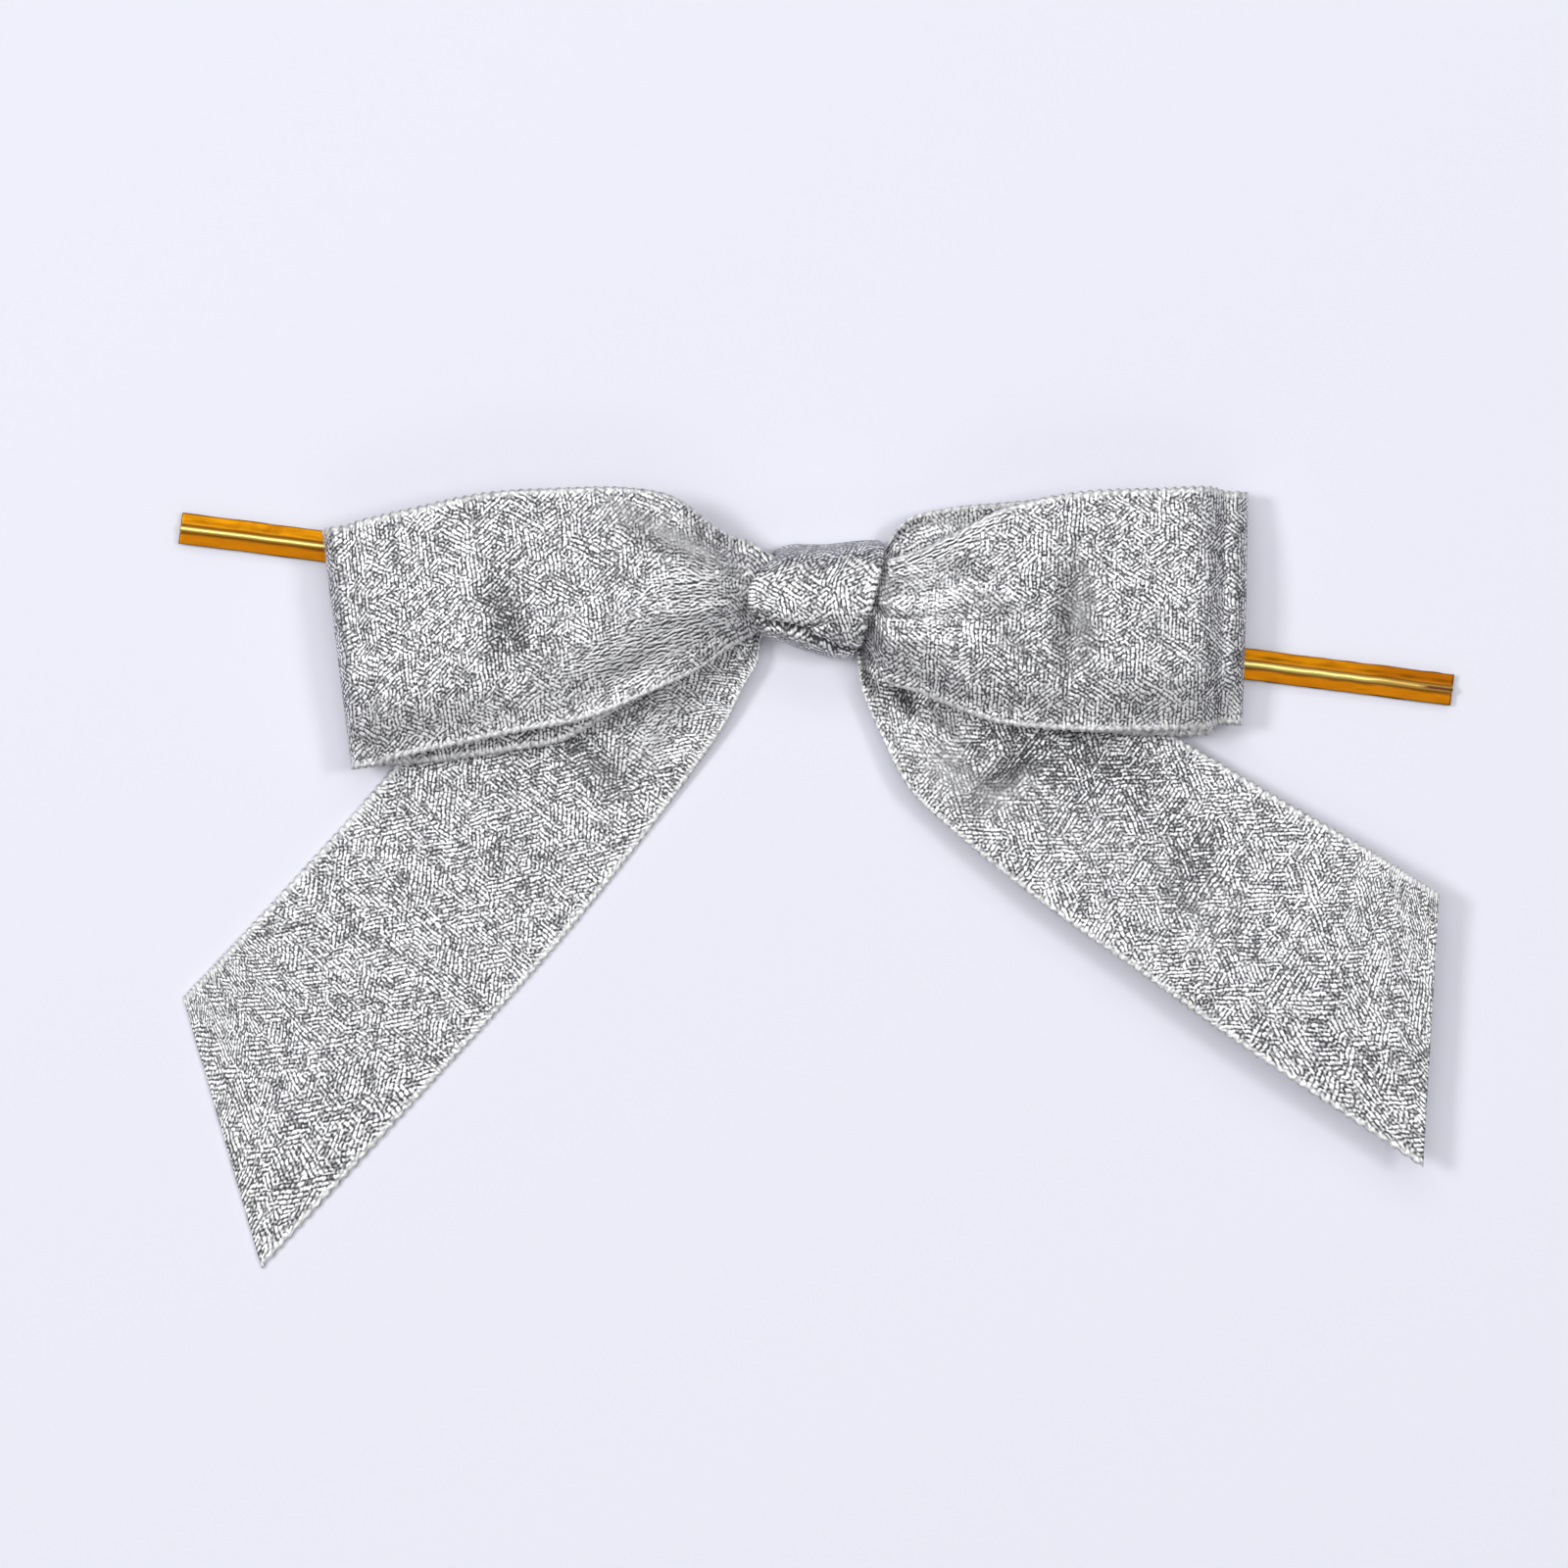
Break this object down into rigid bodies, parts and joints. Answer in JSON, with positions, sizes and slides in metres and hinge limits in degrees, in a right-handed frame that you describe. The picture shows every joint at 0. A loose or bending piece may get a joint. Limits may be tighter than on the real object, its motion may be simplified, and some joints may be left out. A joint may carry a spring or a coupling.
{
  "type": "pre-made gift bow",
  "caption": "Metallic ribbon gift bow with flattened loops and angled tails, held on a gold foil twist tie whose arms bend back to fasten it round a bag neck or ribbon.",
  "frame": {"origin": "middle of the flat back of the knot, which lies on the surface behind the bow", "axes": "+X along the loops, towards the right loop as seen from the front; +Y towards the upper edges of the loops, away from the tails; +Z out of the front of the bow"},
  "size_m": [0.1344, 0.0818, 0.01],
  "materials": {
    "ribbon": "silver metallic weave, sparkling",
    "gold_foil": "metallised gold film, glossy",
    "tie_wire": "plain drawn wire"
  },
  "bodies": {
    "bow": {"left_loop": "ribbon", "right_loop": "ribbon", "left_tail": "ribbon", "right_tail": "ribbon", "knot_wrap": "ribbon", "knot_core": "ribbon", "tie_middle_front_film": "gold_foil", "tie_middle_back_film": "gold_foil", "tie_middle_wire": "tie_wire"},
    "left_inner_arm": {"tie_left_inner_front_film": "gold_foil", "tie_left_inner_back_film": "gold_foil", "tie_left_inner_wire": "tie_wire"},
    "left_outer_arm": {"tie_left_outer_front_film": "gold_foil", "tie_left_outer_back_film": "gold_foil", "tie_left_outer_wire": "tie_wire"},
    "right_inner_arm": {"tie_right_inner_front_film": "gold_foil", "tie_right_inner_back_film": "gold_foil", "tie_right_inner_wire": "tie_wire"},
    "right_outer_arm": {"tie_right_outer_front_film": "gold_foil", "tie_right_outer_back_film": "gold_foil", "tie_right_outer_wire": "tie_wire"}
  },
  "joints": [
    {"name": "left_bend", "type": "hinge", "parent": "bow", "child": "left_inner_arm", "pos_m": [-0.00816, 0.00004, 0.00055], "axis": [0, -1, 0], "range_deg": [0, 90]},
    {"name": "left_outer_bend", "type": "hinge", "parent": "left_inner_arm", "child": "left_outer_arm", "pos_m": [-0.02503, 0.00219, 0.00055], "axis": [0, -1, 0], "range_deg": [0, 90]},
    {"name": "right_bend", "type": "hinge", "parent": "bow", "child": "right_inner_arm", "pos_m": [0.00816, -0.00204, 0.00055], "axis": [0, 1, 0], "range_deg": [0, 90]},
    {"name": "right_outer_bend", "type": "hinge", "parent": "right_inner_arm", "child": "right_outer_arm", "pos_m": [0.02205, -0.00381, 0.00055], "axis": [0, 1, 0], "range_deg": [0, 90]}
  ],
  "couplings": [
    {"joint": "left_outer_bend", "follows": "left_bend", "ratio": 1},
    {"joint": "right_outer_bend", "follows": "right_bend", "ratio": 1}
  ]
}
